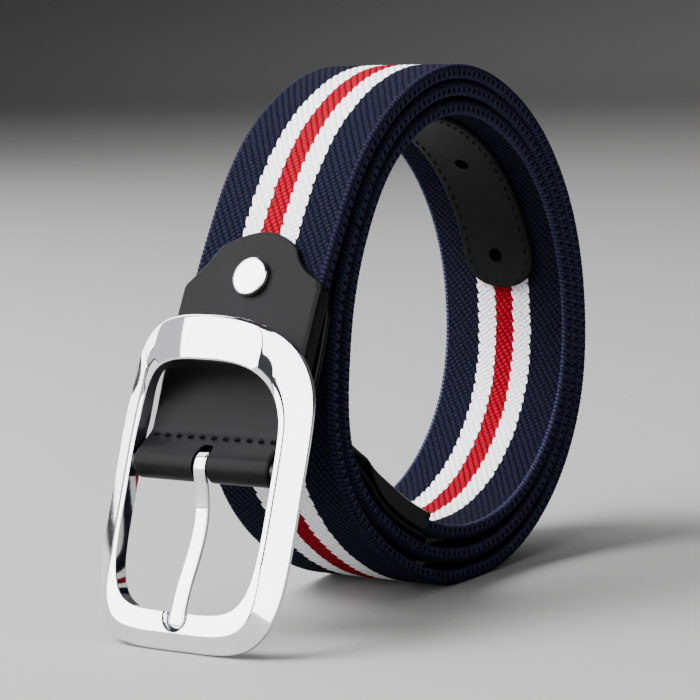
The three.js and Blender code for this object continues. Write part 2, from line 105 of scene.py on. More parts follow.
FRAME_LEAN = 20.0
FRAME_HALF = 25.1
FRAME_LENGTH = 71.3
FRAME_MIDDLE = 36.0     # how far up the frame its sections' rays meet
FRAME_RAYS = 480
WINDOW_HALF = 19.0
WINDOW_FOOT = 8.0
WINDOW_TOP = 61.3
ARCH_RISE = 8.5
ARCH_FROM = 48.0
ARCH_TO = 64.0
BAR_S = 39.9            # the bar's place in the frame's own plane, s and n
BAR_N = 1.0
BAR_RADIUS = 1.8
EYE_RADIUS = 2.75       # of the prong's middle round the bar
EYE_ANGLES = (-62.0, 196.0)
PRONG_HALF = 1.8
PRONG_HALF_THICK = 0.95
RAIL_RIDGE = 4.0
ARCH_RIDGE = 2.5
RAIL_EDGE = 0.9
ARCH_EDGE = 1.8
RIDGE_FALL = 0.15       # from the window's edge to the ridge
NOTCH_FOOT = 6.9
NOTCH_TOP = 13.0
STRIP_HALF = 9.7
STRIP_THICK = 1.2
STRIP_SHIFT = 0.5
STRIP_NOSE = 7.5
STRIP_FROM = 4.4
HOLE_COUNT = 5
HOLE_PITCH = 28.0
HOLE_END = 8.5
HOLE_RADIUS = 1.8
SEAM_INSET = 1.7
SEAM_PITCH = 3.0
TIP_LEATHER = 1.2
TIP_OUTER_BACK = 21.5   # how far the tip's leathers reach back over the web
TIP_INNER_BACK = 21.0
TIP_CLOSE_FROM = 6.0    # past the web's end, where the leathers begin to close up
TIP_CLOSE = 18.0
TIP_WALL_ANGLES = (207.0, 198.0)      # where the tip lies on the coil's wall
TIP_WALL_GAP = 1.9      # from the web there to the tip's middle
TIP_CURVE = 6.0         # length of the curve's two handles
TIP_MARGIN_GAP = 0.3
TIP_NOSE = 17.0
NOSE_POWER = 2.2

# Weave of the web
RIB_SLANT = 0.68        # how far a rib runs across the web for each millimetre along it
RIB_ACROSS = 1.77       # width of a rib, measured across the web
BEAD_SLANT = 1.38       # the same for the beads, which run the other way
RED_HALF = 2.4
WHITE_HALF = 7.58
BORDER_BLUR = 0.06
RIB_HEIGHT = 0.16
RIB_POWER = 2.4
RIB_ROOT = 0.1          # how far the ribs' roots lie under the web's face
EDGE_ROUND = 1.0
STRAND_HEIGHT = 0.22
STRAND_PITCH = 1.08
STRAND_SLANT = 1.5      # how far a strand runs along while it goes from face to face
OUTER_TURN_END = -212.0
MIDDLE_TURN_END = -484.0
TURN_GAP = 0.05
IN_SIGHT = 84           # points across a face
OUT_OF_SIGHT = 8

MERGE_WITHIN = 2e-6     # in metres
SHARP_FROM = np.radians(42)


def in_scene(name, data):
    """A new object in the scene, with a mesh, a camera or a light as its data."""
    made = bpy.data.objects.new(name, data)
    bpy.context.scene.collection.objects.link(made)
    return made


def unit(vectors):
    """The vectors at length 1."""
    return vectors / np.linalg.norm(vectors, axis=-1, keepdims=True)


def look_from_the_photograph():
    """The camera: a 36 mm wide film behind a 144.37 mm lens, at the place that was fitted to the
    photograph."""
    place = np.array([365.8, -526.67, 137.5]) * MM
    ahead = unit(np.array([-0.5690, 0.8125, -0.1266]))
    right = np.array([0.8214, 0.5692, -0.0380])
    right = unit(right - ahead * (right @ ahead))
    data = bpy.data.cameras.new("photo_camera")
    data.sensor_width = 36.0
    data.lens = 144.37
    data.clip_start = 0.01
    camera = in_scene("photo_camera", data)
    turn = Matrix((right, np.cross(right, ahead), -ahead)).transposed().to_4x4()
    camera.matrix_world = Matrix.Translation(Vector(place)) @ turn
    bpy.context.scene.camera = camera


look_from_the_photograph()


# Paths

def coil_value(angle, column):
    """A smooth closed curve through the table's values: a cubic in each 30 degree step, whose slope at a
    value is half the difference of its two neighbours."""
    at = np.mod(angle + 180.0, 360.0) / COIL_STEP
    i = np.floor(at).astype(int)
    t = at - i
    a, b, c, d = (column[(i + k) % len(column)] for k in (-1, 0, 1, 2))
    m1 = (c - a) / 2
    m2 = (d - b) / 2
    return (b * (2 * t**3 - 3 * t**2 + 1) + m1 * (t**3 - 2 * t**2 + t)
            + c * (3 * t**2 - 2 * t**3) + m2 * (t**3 - t**2))


def coil_middle(angle):
    """Middle of the web at an unwrapped angle: centre + radius * (cos, sin), where the radius shrinks by
    one step in each turn, and z is at least half the web's thickness, so that the rolled belt rests
    flat."""
    angle = np.asarray(angle, float)
    turns = (COIL_START - angle) / 360.0
    steps = (coil_value(angle, COIL_FIRST) * np.minimum(turns, 1)
             + coil_value(angle, COIL_NEXT) * np.maximum(turns - 1, 0))
    radius = coil_value(angle, COIL_OUTER) - steps - WEB_THICK / 2
    y = COIL_Y + radius * np.cos(np.radians(angle))
    z = COIL_Z + radius * np.sin(np.radians(angle))
    return np.stack([y, np.maximum(z, WEB_THICK / 2)], -1)


def tab_middle(along):
    """Middle of the web in the buckle tab: an arc whose lean falls evenly from 31 to 22 degrees in 50
    mm."""
    start = coil_middle(COIL_START)
    bend = np.radians(TAB_LEAN - TAB_LEAN_END) / TAB_LENGTH
    first = np.radians(TAB_LEAN)
    lean = first - bend * np.asarray(along, float)
    y = start[0] - (np.cos(lean) - np.cos(first)) / bend
    z = start[1] - (np.sin(first) - np.sin(lean)) / bend
    return np.stack([y, z], -1)


def lengths(path):
    """Length along a path at each of its points: the running sum of the steps."""
    return np.concatenate([[0.0], np.cumsum(np.linalg.norm(np.diff(path, axis=0), axis=1))])


def read_at(path, values, at):
    """Pairs of values, given at a path's points, at lengths along the path, straight between the points."""
    return np.stack([np.interp(at, lengths(path), values[:, k]) for k in (0, 1)], -1)


def evenly(path, step):
    """The same path with even steps, straight between its points."""
    total = lengths(path)[-1]
    return read_at(path, path, np.linspace(0, total, max(int(round(total / step)), 2) + 1))


def softened(path, reach, step):
    """The path with even steps and its corners rounded: each point is the mean of its neighbours under a
    bell curve of that reach, with both ends carried on straight."""
    even = evenly(path, step)
    count = int(np.ceil(3 * reach / step))
    bell = np.exp(-0.5 * (np.arange(-count, count + 1) * step / reach) ** 2)
    bell /= bell.sum()
    before = 2 * even[0] - even[1:count + 1][::-1]
    after = 2 * even[-1] - even[-count - 1:-1][::-1]
    long = np.concatenate([before, even, after])
    smooth = np.stack([np.convolve(long[:, k], bell, "valid") for k in (0, 1)], -1)
    return evenly(smooth, step)


def fronts(path):
    """Unit vectors to the right of a path's direction: (dz, -dy)."""
    step = unit(np.gradient(path, axis=0))
    return np.stack([step[:, 1], -step[:, 0]], -1)


def beside(path, distance):
    """The path moved to its front side by a distance, one value or one for each point."""
    return path + fronts(path) * np.broadcast_to(distance, len(path))[:, None]


def spots_on(line, at):
    """Points of a line at lengths along it, and the unit vectors to its front there."""
    return read_at(line, line, at), unit(read_at(line, fronts(line), at))


def smooth_step(value, start, stop):
    """0 up to the start, 1 from the stop on, and 3t^2 - 2t^3 between."""
    t = np.clip((value - start) / (stop - start), 0, 1)
    return t * t * (3 - 2 * t)


def dome(t, power=2.0, least=0.0):
    """A round rise from 0 to 1 as t goes from 0 to 1: sqrt(1 - (1 - t)^power), but at least sqrt(least)."""
    return np.sqrt(np.maximum(1 - (1 - np.clip(t, 0, 1)) ** power, least))


def web_path():
    """The whole web's middle line, from its end in the buckle tab over the coil to its end in the tip."""
    tab = tab_middle(np.arange(WEB_IN_TAB, 0.1, -0.5))
    coil = coil_middle(np.arange(COIL_START, TIP_START - 720 - 0.01, -0.5))
    return softened(np.concatenate([tab, coil]), reach=1.6, step=0.45)


WEB_LINE = web_path()
WEB_SUM = lengths(WEB_LINE)


def length_at_angle(angle):
    """Length along the web's line at an unwrapped angle of the coil."""
    return WEB_SUM[np.argmin(np.linalg.norm(WEB_LINE - coil_middle(angle), axis=1))]


def inner_line(start, stop, inwards):
    """A line along the innermost turn, from one angle to another, moved towards the coil's middle."""
    way = 1 if stop > start else -1
    return beside(coil_middle(np.arange(start, stop, 0.5 * way) - 720), -way * inwards)


def frame_place(x, s, n):
    """A point of the frame's own plane: s up the frame from its foot, n out to the front, leaning by 20
    degrees."""
    lean = np.radians(FRAME_LEAN)
    y = FRAME_FOOT_Y + np.sin(lean) * s - np.cos(lean) * n
    z = np.cos(lean) * s + np.sin(lean) * n
    return np.stack(np.broadcast_arrays(x, y, z), -1)


BAR_PLACE = frame_place(0.0, BAR_S, BAR_N)[1:]


def round_bar(radius, start, stop, count):
    """Points on an arc round the buckle's bar, between two angles in degrees."""
    angle = np.radians(np.linspace(start, stop, count))
    return BAR_PLACE + radius * np.stack([np.cos(angle), np.sin(angle)], -1)


def around(count):
    """Angles at even steps round a full turn."""
    return np.linspace(0, 2 * np.pi, count, endpoint=False)


def carried(line, side, x, n):
    """Rings of points: at each point of a line the section (x, n), where n goes the way of side."""
    return np.stack(np.broadcast_arrays(x, line[:, :1] + side[:, :1] * n, line[:, 1:] + side[:, 1:] * n), -1)


# Meshes

def volume(points, faces):
    """Signed volume inside four-cornered faces: the sum of the tetrahedra from the points' mean to each
    triangle."""
    a, b, c, d = (points[faces[:, k]] - points.mean(0) for k in range(4))
    return (np.einsum("ij,ij->i", a, np.cross(b, c)) + np.einsum("ij,ij->i", a, np.cross(c, d))).sum() / 6


def mesh_from_rings(name, rings, looped=False, maps=None, material_of=None):
    """A closed mesh from an array of rings (ring, point, xyz) in millimetres. Neighbouring points of
    neighbouring rings make a four-cornered face. The rings close on themselves, and on each other if
    looped; otherwise a flat face closes each end. Each point of a ring has a face that begins there. maps
    holds that face's map positions at the point and at the next one, and the point's own in a flat end, and
    material_of the face's material number."""
    n, m = rings.shape[:2]
    points = rings.reshape(-1, 3)
    i = np.arange(n if looped else n - 1)[:, None]
    j = np.arange(m)
    this, following = i * m, (i + 1) % n * m
    beside_it = (j + 1) % m
    faces = np.stack([this + j, this + beside_it, following + beside_it, following + j], -1).reshape(-1, 4)
    turn = -1 if volume(points, faces) < 0 else 1
    corners = faces[:, ::turn].ravel()
    starts = np.arange(len(faces)) * 4
    first = j[::-turn]
    if not looped:
        corners = np.concatenate([corners, first, (n - 1) * m + first[::-1]])
        starts = np.append(starts, [len(faces) * 4, len(faces) * 4 + m])
    mesh = bpy.data.meshes.new(name)
    mesh.vertices.add(len(points))
    mesh.vertices.foreach_set("co", (points * MM).ravel())
    mesh.loops.add(len(corners))
    mesh.loops.foreach_set("vertex_index", corners.astype(np.int32))
    mesh.polygons.add(len(starts))
    mesh.polygons.foreach_set("loop_start", starts.astype(np.int32))
    mesh.polygons.foreach_set("use_smooth", np.ones(len(starts), bool))
    if maps is not None:
        square = np.stack([maps[:-1, :, 0], maps[:-1, :, 1], maps[1:, :, 1], maps[1:, :, 0]], 2)
        values = [square[:, :, ::turn].reshape(-1, 2), maps[0, first, 2], maps[-1, first[::-1], 2]]
        layer = mesh.uv_layers.new(name="cloth")
        layer.data.foreach_set("uv", np.concatenate(values).astype(np.float32).ravel())
    mesh.update(calc_edges=True)
    if material_of is not None:
        numbers = np.append(np.tile(material_of, len(i)), np.zeros(len(starts) - len(faces)))
        mesh.polygons.foreach_set("material_index", numbers.astype(np.int32))
    mesh.validate()
    return mesh


def mesh_from_faces(name, points, faces):
    """A smooth mesh from points in millimetres and faces as lists of point numbers."""
    mesh = bpy.data.meshes.new(name)
    mesh.from_pydata((points.reshape(-1, 3) * MM).tolist(), [], faces)
    mesh.polygons.foreach_set("use_smooth", np.ones(len(faces), bool))
    mesh.update()
    return mesh


def piece(name, mesh, materials, body, slot, *nodes):
    """An object for a finished mesh, riding on its body and standing for its solids."""
    found = in_scene(name, mesh)
    for material in materials:
        mesh.materials.append(material)
    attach(found, body)
    if nodes:
        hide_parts(*nodes)
    return found


def merged(mesh):
    """The mesh with corners closer than 0.002 mm made one, and flat faces without area taken out."""
    work = bmesh.new()
    work.from_mesh(mesh)
    bmesh.ops.remove_doubles(work, verts=work.verts, dist=MERGE_WITHIN)
    bmesh.ops.dissolve_degenerate(work, edges=work.edges, dist=MERGE_WITHIN)
    work.to_mesh(mesh)
    work.free()
    return mesh


def cut_out(owner, rings, wall=0):
    """Takes the solid inside the rings out of a piece with an exact boolean, and keeps the new edges crisp.
    wall is the material number of the new faces."""
    cutter = in_scene("cutter", mesh_from_rings("cutter", rings))
    for slot in owner.material_slots:
        cutter.data.materials.append(slot.material)
    cutter.data.polygons.foreach_set("material_index", np.full(len(cutter.data.polygons), wall, np.int32))
    cut = owner.modifiers.new("cut", "BOOLEAN")
    cut.operation = "DIFFERENCE"
    cut.solver = "EXACT"
    cut.object = cutter
    bpy.context.view_layer.update()
    shaped = owner.evaluated_get(bpy.context.evaluated_depsgraph_get())
    done = bpy.data.meshes.new_from_object(shaped)
    owner.modifiers.remove(cut)
    done.name = owner.data.name
    done.set_sharp_from_angle(angle=SHARP_FROM)
    owner.data = done
    bpy.data.objects.remove(cutter)


# Finishes

class Value:
    """What a node gives out, with the signs of arithmetic: each makes one more node."""

    def __init__(self, sheet, socket):
        self.sheet = sheet
        self.socket = socket

    def __add__(self, other):
        return self.sheet.sum("ADD", self, other)

    def __sub__(self, other):
        return self.sheet.sum("SUBTRACT", self, other)

    def __rsub__(self, other):
        return self.sheet.sum("SUBTRACT", other, self)

    def __mul__(self, other):
        return self.sheet.sum("MULTIPLY", self, other)

    def __truediv__(self, other):
        return self.sheet.sum("DIVIDE", self, other)

    def __pow__(self, other):
        return self.sheet.sum("POWER", self, other)

    def __abs__(self):
        return self.sheet.sum("ABSOLUTE", self)


class Sheet:
    """One material's node tree, with short words for the nodes that its patterns need."""

    def __init__(self, name):
        self.material = bpy.data.materials.new(name)
        self.material.use_nodes = True
        self.tree = self.material.node_tree

    def fill(self, node, inputs):
        """Links or sets a node's inputs."""
        for key, value in inputs.items():
            if isinstance(value, Value):
                self.tree.links.new(value.socket, node.inputs[key])
            else:
                node.inputs[key].default_value = value

    def node(self, kind, inputs=None, out=0, **settings):
        """A new node with its settings and inputs; gives back one of its outputs."""
        made = self.tree.nodes.new(kind)
        for key, value in settings.items():
            setattr(made, key, value)
        self.fill(made, inputs or {})
        return Value(self, made.outputs[out])

    def sum(self, kind, *values):
        """One step of arithmetic."""
        return self.node("ShaderNodeMath", dict(enumerate(values)), operation=kind)

    def blend(self, share, low, high):
        """A colour between two colours."""
        return self.node("ShaderNodeMix", {"Factor": share, "A": low, "B": high}, "Result", data_type="RGBA")

    def span(self, value, low, high, start=0.0, stop=1.0, soft=False):
        """The value's way from low to high, told from start to stop and held there."""
        inputs = {"Value": value, "From Min": low, "From Max": high, "To Min": start, "To Max": stop}
        return self.node("ShaderNodeMapRange", inputs, interpolation_type="SMOOTHSTEP" if soft else "LINEAR")

    def noise(self, place, scale, detail=2.0, rough=0.5):
        """Soft noise, about 0.5 on average."""
        inputs = {"Vector": place, "Scale": scale, "Detail": detail, "Roughness": rough}
        return self.node("ShaderNodeTexNoise", inputs, "Fac")

    def cells(self, place, scale):
        """Distance to the nearest of many scattered points."""
        return self.node("ShaderNodeTexVoronoi", {"Vector": place, "Scale": scale}, "Distance")

    def place(self):
        """The place on the object, in metres."""
        return self.node("ShaderNodeTexCoord", out="Object")

    def cloth(self):
        """The web's map, and its first and second number."""
        place = self.node("ShaderNodeUVMap", uv_map="cloth")
        return place, *(self.node("ShaderNodeSeparateXYZ", {0: place}, k) for k in (0, 1))

    def stretched(self, place, scale, turn=(0, 0, 0)):
        """A place, scaled and turned for a pattern."""
        return self.node("ShaderNodeMapping", {"Vector": place, "Scale": scale, "Rotation": turn})

    def relief(self, height, depth):
        """A bump of that depth in metres."""
        return self.node("ShaderNodeBump", {"Height": height, "Distance": depth})

    def finish(self, **sockets):
        """Fills the surface's inputs and gives back the material."""
        surface = next(n for n in self.tree.nodes if n.type == "BSDF_PRINCIPLED")
        self.fill(surface, {key.replace("_", " "): value for key, value in sockets.items()})
        return self.material


def shade(red, green, blue):
    """A colour given as on a screen, 0 to 255, turned to the linear values that a shader takes."""
    s = np.array([red, green, blue]) / 255.0
    linear = np.where(s <= 0.04045, s / 12.92, ((s + 0.055) / 1.055) ** 2.4)
    return (*linear.tolist(), 1.0)


def woven_stripes():
    """The web's face, a twill. The map gives u along and v across, in millimetres. A slanted rib has the
    number floor((v + slant u) / width), and f, from -0.5 to 0.5, is the place across it. In each rib the
    white reaches 0.5 (1 - (2 f)^2) further into the navy and into the red; all borders also move by 0.45 f
    and by the rib's own random number. Height is a rounded rib, 1 - |2 f|^2.4, times a bead,
    1 - 0.7 (2 g)^2, plus hairs of noise; g, from -0.5 to 0.5, is the place across the beads' own slant,
    (v - bead slant u) / width. The colour holds painted shade: each of the three colours is darkest in the
    grooves between the ribs and beads, and the navy there is nearly black."""
    s = Sheet("woven_stripes")
    cloth, u, v = s.cloth()
    waver = (s.noise(cloth, 0.35) - 0.5) * 0.6
    phase = (v + waver + u * RIB_SLANT) / RIB_ACROSS
    from_middle = s.sum("FRACT", phase) - 0.5
    side = abs(from_middle * 2.0)
    hump = side * side * 0.5
    lot = s.node("ShaderNodeTexWhiteNoise", {"W": s.sum("FLOOR", phase)}, "Value", noise_dimensions="1D")
    shift = (lot - 0.5) * 0.26
    across = abs(v + from_middle * -0.45 + shift)
    white = s.span(across + hump, WHITE_HALF + BORDER_BLUR, WHITE_HALF - BORDER_BLUR)
    red = s.span(across - hump, RED_HALF + BORDER_BLUR, RED_HALF - BORDER_BLUR)

    bead_at = s.sum("FRACT", (v + waver - u * BEAD_SLANT) / RIB_ACROSS + shift)
    bead = 1.0 - abs(bead_at * 2.0 - 1.0) ** 2.0
    beaded = (1.0 - side ** RIB_POWER) * (bead * 0.7 + 0.3)
    hair = s.noise(s.stretched(cloth, (2.4, 7.0, 1.0), (0, 0, 0.6)), 1.0, 4.0, 0.65)
    height = beaded + hair * 0.7

    # Painted shade: the colour darkens into the grooves between ribs and beads, where this share falls to 0.
    crown_light_share = s.span(beaded, 0.02, 0.85)
    dyed = s.blend(s.span(hair, 0.42, 0.72), shade(15, 15, 30), shade(43, 43, 66))
    navy = s.blend(crown_light_share * 0.8 + (hair - 0.5) * 1.8, shade(2, 2, 6), dyed)
    chalk = s.blend(crown_light_share, shade(232, 230, 240), s.blend(hair, shade(236, 236, 242), shade(252, 252, 252)))
    scarlet = s.blend(crown_light_share, shade(78, 0, 8), s.blend(hair, shade(112, 0, 16), shade(172, 0, 38)))
    colour = s.blend(red, s.blend(white, navy, chalk), scarlet)
    return s.finish(Base_Color=colour, Roughness=0.85, Sheen_Weight=0.012, Sheen_Roughness=0.5,
                    Normal=s.relief(height, 0.0003), Specular_IOR_Level=0.01)


def bound_edge():
    """The web's edge. The map gives u along and t from the outer face, 0, to the inner face, 1. Slanted
    strands, |sin(180 degrees (u + 1.5 t) / 1.08)|^0.7, lie side by side, where noise makes u waver; a row
    of small eyes, sunk in and painted dark, runs along t = 0.6. Its colour holds painted shade: it is darker
    between the strands, in the eyes, and towards the outer face."""
    s = Sheet("bound_edge")
    cloth, u, t = s.cloth()
    wavering = u + (s.noise(s.stretched(cloth, (0.4, 3.0, 1.0)), 1.0) - 0.5) * 0.9
    per_strand = np.pi / STRAND_PITCH
    strand = abs(s.sum("SINE", (wavering + t * STRAND_SLANT) * per_strand)) ** 0.7
    row = s.sum("MAXIMUM", 1.0 - abs((t - 0.6) * 3.8), 0.0)
    sunk_eye_shade = row * s.sum("MAXIMUM", s.sum("SINE", wavering * per_strand), 0.0)
    hair = s.noise(s.stretched(cloth, (4.0, 12.0, 1.0)), 1.0, 3.0, 0.6)
    # Painted shade: the tone is darker between the strands, in the sunk eyes, and towards the outer face.
    tone = (strand * 0.55 + hair * 0.45 - sunk_eye_shade) * s.span(t, 0.18, 0.5, 0.35, 1.0, True)
    normal = s.relief(strand - sunk_eye_shade * 1.2 + hair * 0.4, 0.0004)
    return s.finish(Base_Color=s.blend(tone, shade(2, 2, 6), shade(66, 66, 98)), Roughness=0.85,
                    Sheen_Weight=0.01, Normal=normal, Specular_IOR_Level=0.01)


def shaded_hole_wall():
    """The wall of a punched hole: its cut threads painted near black, as painted shade inside the hole."""
    s = Sheet("shaded_hole_wall")
    threads = s.noise(s.place(), 1800.0, 3.0, 0.6)
    colour = s.blend(threads, shade(4, 4, 6), shade(18, 18, 24))
    return s.finish(Base_Color=colour, Roughness=0.9, Specular_IOR_Level=0.1,
                    Normal=s.relief(threads, 0.0001))


def black_leather(name, tone, gloss, pebble):
    """Dyed leather: a height of fine cells and noise with small pores sunk in, and a colour that changes
    slowly with a wide noise and is darker in the pores."""
    s = Sheet(name)
    place = s.place()
    cells = s.cells(place, 1500.0)
    fine = s.noise(place, 2600.0, 3.0, 0.6)
    wide = s.noise(place, 60.0, 3.0)
    pores = s.span(s.cells(place, 700.0), 0.0, 0.12, 1.0, 0.0)
    dark, light, in_pores = (tuple(c * k for c in tone[:3]) + (1.0,) for k in (0.75, 1.7, 0.4))
    colour = s.blend(pores * 0.5, s.blend(s.span(wide, 0.3, 0.7), dark, light), in_pores)
    rough = s.span(wide * 0.7 + cells * 0.3, 0.2, 0.8, gloss - 0.05, gloss + 0.07)
    normal = s.relief(cells * 0.7 + fine * 0.5 - pores * 0.6, pebble)
    return s.finish(Base_Color=colour, Roughness=rough, Normal=normal, Specular_IOR_Level=0.09)


def bright_plating():
    """Polished chrome: mirror bright, with faint long scratches in its roughness and a trace of casting
    waves."""
    s = Sheet("bright_plating")
    place = s.place()
    scratch = s.noise(s.stretched(place, (300.0, 300.0, 4000.0)), 1.0, 4.0, 0.7)
    colour = s.blend(s.noise(place, 40.0), (0.80, 0.81, 0.83, 1.0), (0.90, 0.905, 0.92, 1.0))
    return s.finish(Base_Color=colour, Metallic=1.0, Roughness=s.span(scratch, 0.3, 0.8, 0.035, 0.10),
                    Normal=s.relief(s.noise(place, 90.0, 1.0), 0.00003))


def shaded_bar_metal():
    """The bar under the leather: rough metal with fine marks along it, painted dark as painted shade, since
    the bar lies in shade under the leather.
    """
    s = Sheet("shaded_bar_metal")
    marks = s.noise(s.stretched(s.place(), (200.0, 3000.0, 3000.0)), 1.0, 3.0, 0.6)
    colour = s.blend(marks, (0.035, 0.035, 0.04, 1.0), (0.10, 0.10, 0.105, 1.0))
    return s.finish(Base_Color=colour, Metallic=1.0, Roughness=s.span(marks, 0.2, 0.8, 0.35, 0.55),
                    Normal=s.relief(marks, 0.00001))


def black_thread():
    """Waxed thread: fine twisted strands."""
    s = Sheet("black_thread")
    twist = s.node("ShaderNodeTexWave", {"Vector": s.place(), "Scale": 900.0}, "Fac", wave_type="BANDS",
                   bands_direction="DIAGONAL")
    return s.finish(Base_Color=s.blend(twist, shade(3, 3, 4), shade(14, 14, 16)), Roughness=0.6,
                    Specular_IOR_Level=0.08, Normal=s.relief(twist, 0.00005))


WEB_FINISHES = (woven_stripes(), bound_edge(), shaded_hole_wall())
SHADED_HOLE_WALL_NUMBER = 2
TAB_FINISH = black_leather("tab_leather", shade(9, 9, 10), 0.40, 0.000015)
STRIP_FINISH = black_leather("strip_leather", shade(4, 5, 5), 0.5, 0.00003)
TIP_FINISH = black_leather("tip_leather", shade(9, 9, 10), 0.36, 0.00002)
CHROME = bright_plating()
SHADED_BAR_METAL = shaded_bar_metal()
THREAD = black_thread()


# The web

def web_stretch(name, start, stop, outer_count, inner_count):
    """One stretch of the web: its section, a flat band with rounded edges, carried along the web's line
    between two lengths. On the faces it stands out by the slanted ribs, 0.16 (1 - |2 g - 1|^2.4), where g
    is the place across a rib, 0 to 1; on the edges by the strands that wrap round them, 0.22 |sin(180
    degrees (u + 1.5 t) / 1.08)|, where u is the length along and t the depth, 0 to 1."""
    keep = (WEB_SUM >= start - 1e-6) & (WEB_SUM <= stop + 1e-6)
    line, u = WEB_LINE[keep], WEB_SUM[keep][:, None]
    flat = WEB_HALF - EDGE_ROUND
    thick = WEB_THICK / 2 - RIB_ROOT
    bend = np.radians(np.linspace(-90, 90, 11)[1:-1])
    cos, sin = np.cos(bend), np.sin(bend)
    edge_x = flat + EDGE_ROUND * cos ** 0.7
    edge_n = thick * np.sign(sin) * np.abs(sin) ** 0.7
    parts = ((np.linspace(-flat, flat, outer_count), -thick, 0.0, -1.0),
             (edge_x, edge_n, cos, sin),
             (np.linspace(flat, -flat, inner_count), thick, 0.0, 1.0),
             (-edge_x[::-1], edge_n[::-1], -cos[::-1], sin[::-1]))
    x, n, out_x, out_n = np.concatenate([np.broadcast_arrays(*part) for part in parts], 1)
    on_edge = np.repeat([0, 1, 0, 1], (outer_count, len(bend), inner_count, len(bend)))
    depth = n / (2 * thick) + 0.5
    phase = (x + RIB_SLANT * np.where(n < 0, 1.0, -1.0) * u) / RIB_ACROSS
    ribs = RIB_HEIGHT * (1 - np.abs(2 * np.mod(phase, 1) - 1) ** RIB_POWER)
    strands = STRAND_HEIGHT * np.abs(np.sin(np.pi * (u + STRAND_SLANT * depth) / STRAND_PITCH))
    rise = np.where(on_edge, strands, ribs)
    rings = carried(line, fronts(line), x + out_x * rise, n + out_n * rise)

    edge_face = np.maximum(on_edge, np.roll(on_edge, -1))
    way = np.where(n == thick, -1.0, 1.0)
    along = u[:, None] * np.stack([np.where(edge_face, 1.0, way)] * 2 + [way], -1)
    here, following = np.where(edge_face, [depth, np.roll(depth, -1)], [x, np.roll(x, -1)])
    maps = np.stack(np.broadcast_arrays(along, np.stack([here, following, x], -1)), -1)
    mesh = mesh_from_rings(name, rings, False, maps, edge_face)
    return piece(name, mesh, WEB_FINISHES, "belt", "web", "web")


def build_web():
    """The web in three stretches, the outer turn with the tab, the middle turn and the inner turn. A face
    that is in sight has more points across. Gives back the inner turn."""
    first = length_at_angle(OUTER_TURN_END)
    second = length_at_angle(MIDDLE_TURN_END)
    web_stretch("web_outer_turn", 0.0, first, IN_SIGHT, OUT_OF_SIGHT)
    web_stretch("web_middle_turn", first + TURN_GAP, second, OUT_OF_SIGHT, OUT_OF_SIGHT)
    return web_stretch("web_inner_turn", second + TURN_GAP, WEB_SUM[-1], OUT_OF_SIGHT, IN_SIGHT)


# Leather

# Places over half the width of a strip, 0 to 1: crowded at the cut edge, and on the bend of a turned margin
FLAT_PARTS = np.sin(np.linspace(0, np.pi / 2, 12)) ** 0.85
TURNED_PARTS = np.concatenate([np.linspace(0, 0.68, 7), np.linspace(0.72, 0.94, 16),
                               1 - 0.03 * np.linspace(1, 0, 6) ** 2])


def spacing(total):
    """Lengths along a strip: 0.012 i^2 / 26 for the first 26 from each end, and even steps of about 0.55
    between."""
    close = 0.012 * np.arange(26) ** 2 / 26
    inner = np.linspace(close[-1], total - close[-1], int((total - 2 * close[-1]) / 0.55) + 2)
    return np.concatenate([close[:-1], inner, total - close[:-1][::-1]])


def nose_half(distance, half, length, power):
    """Half width of a strip at a distance from its nose's end: half * sqrt(1 - (1 - d/length)^power)."""
    return half * dome(distance / length, power)


def turned_nose(distance, half, slopes):
    """Half widths, left and right, of a nose whose margins turn back: cap * sqrt(1 - (1 - d/4)^1.2) for the
    round end, plus the rest of the half width times (d/length)^power."""
    cap = CAP_HALF * dome(distance / CAP_LENGTH, CAP_POWER)
    return np.stack([cap + (half - CAP_HALF) * np.clip(distance / length, 0, 1) ** power
                     for length, power in slopes])


def turned_place(q, turned):
    """Place (x, n) and lean over the outer face of a leather whose margins turn back, at a distance q from
    its middle line: flat as far as the bend, then an arc of the bend's radius through turned * 90 degrees,
    then straight on."""
    flat = TURNED_HALF - TURNED_RADIUS
    size = np.abs(q)
    lean = np.clip((size - flat) / TURNED_RADIUS, 0, turned * np.pi / 2)
    straight = np.maximum(size - flat - TURNED_RADIUS * lean, 0)
    x = np.minimum(size, flat) + TURNED_RADIUS * np.sin(lean) + straight * np.cos(lean)
    n = -TURNED_RADIUS * (1 - np.cos(lean)) - straight * np.sin(lean)
    return np.sign(q) * x, n, np.sign(q) * lean


